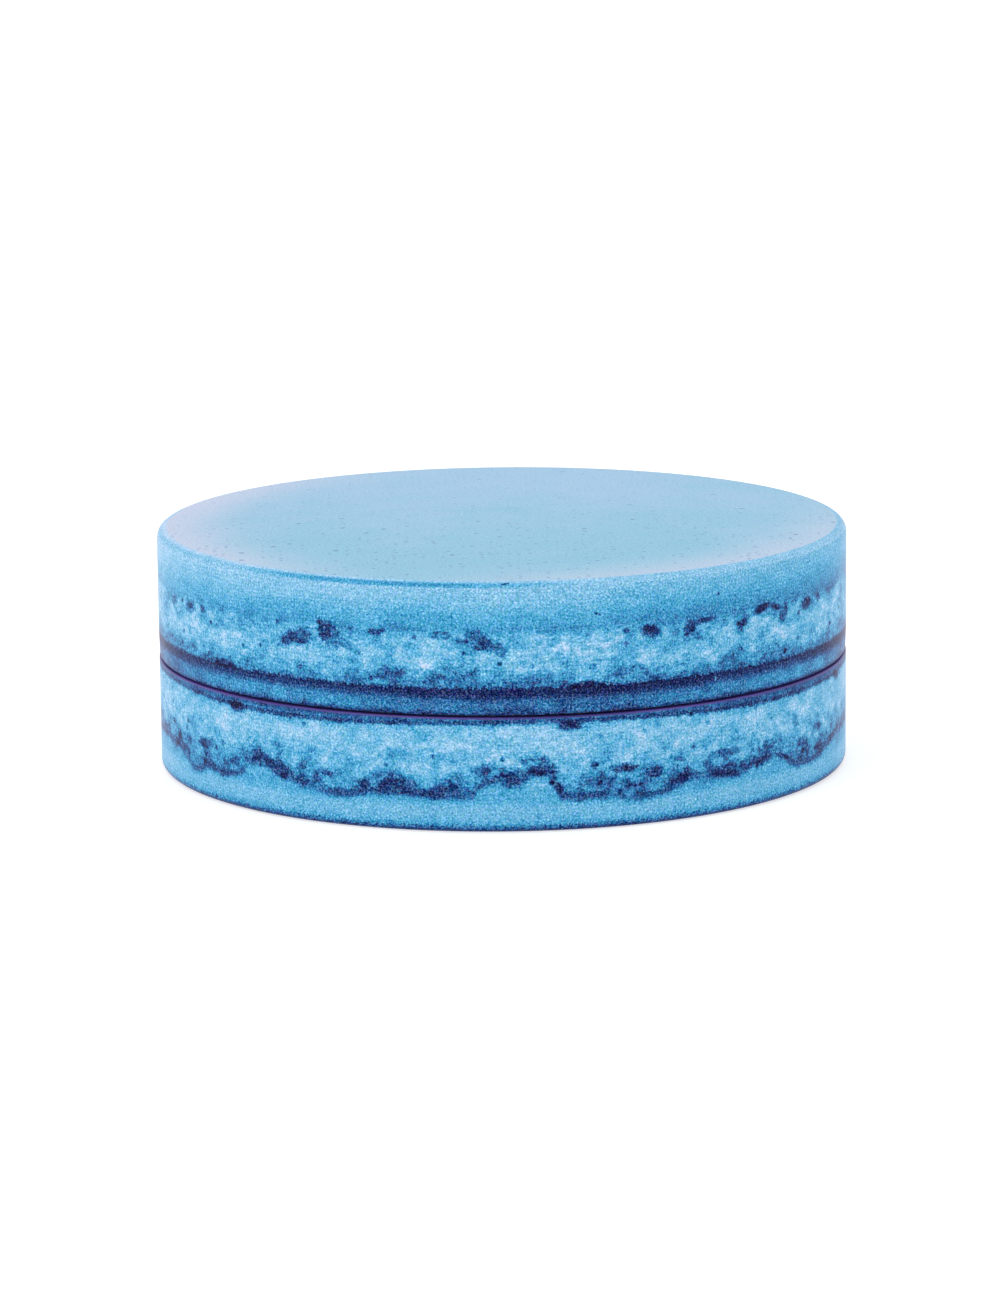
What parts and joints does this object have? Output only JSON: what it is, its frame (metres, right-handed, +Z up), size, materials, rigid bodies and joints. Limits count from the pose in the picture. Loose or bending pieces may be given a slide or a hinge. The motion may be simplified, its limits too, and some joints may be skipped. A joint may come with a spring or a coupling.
{
  "type": "pill crusher",
  "caption": "Short round pocket drum in two printed metal halves that turn on each other, with toothed plates and centre magnets inside for crushing tablets.",
  "frame": {"origin": "middle of the flat underside", "axes": "+Z up along the axis that the lid turns about; +X and +Y lie in the underside, along two of the lanes between the teeth"},
  "size_m": [0.05, 0.05, 0.0174],
  "materials": {
    "printed_casing": "satin printed metal, pale blue top, cyan domes and mottled pale filling round the side",
    "cast_plate": "die-cast zinc alloy, satin",
    "tooth": "machined steel, satin",
    "magnet": "nickel plated",
    "slip_ring": "milky low-friction plastic"
  },
  "bodies": {
    "base": {"lower_casing": "printed_casing", "lower_tooth_plate": "cast_plate", "lower_magnet": "magnet", "lower_inner_tooth_1": "tooth", "lower_inner_tooth_2": "tooth", "lower_inner_tooth_3": "tooth", "lower_inner_tooth_4": "tooth", "lower_inner_tooth_5": "tooth", "lower_inner_tooth_6": "tooth", "lower_inner_tooth_7": "tooth", "lower_inner_tooth_8": "tooth", "lower_outer_tooth_1": "tooth", "lower_outer_tooth_2": "tooth", "lower_outer_tooth_3": "tooth", "lower_outer_tooth_4": "tooth", "lower_outer_tooth_5": "tooth", "lower_outer_tooth_6": "tooth", "lower_outer_tooth_7": "tooth", "lower_outer_tooth_8": "tooth", "lower_outer_tooth_9": "tooth", "lower_outer_tooth_10": "tooth", "lower_outer_tooth_11": "tooth", "lower_outer_tooth_12": "tooth"},
    "ring": {"slip_ring": "slip_ring"},
    "lid": {"upper_casing": "printed_casing", "upper_tooth_plate": "cast_plate", "upper_magnet": "magnet", "upper_inner_tooth_1": "tooth", "upper_inner_tooth_2": "tooth", "upper_inner_tooth_3": "tooth", "upper_inner_tooth_4": "tooth", "upper_outer_tooth_1": "tooth", "upper_outer_tooth_2": "tooth", "upper_outer_tooth_3": "tooth", "upper_outer_tooth_4": "tooth", "upper_outer_tooth_5": "tooth", "upper_outer_tooth_6": "tooth", "upper_outer_tooth_7": "tooth", "upper_outer_tooth_8": "tooth"}
  },
  "joints": [
    {"name": "lid_lift", "type": "slide", "parent": "base", "child": "ring", "axis": [0, 0, 1], "range_m": [0, 0.02]},
    {"name": "lid_turn", "type": "hinge", "parent": "ring", "child": "lid", "pos_m": [0, 0, 0.0125], "axis": [0, 0, 1], "continuous": true}
  ]
}
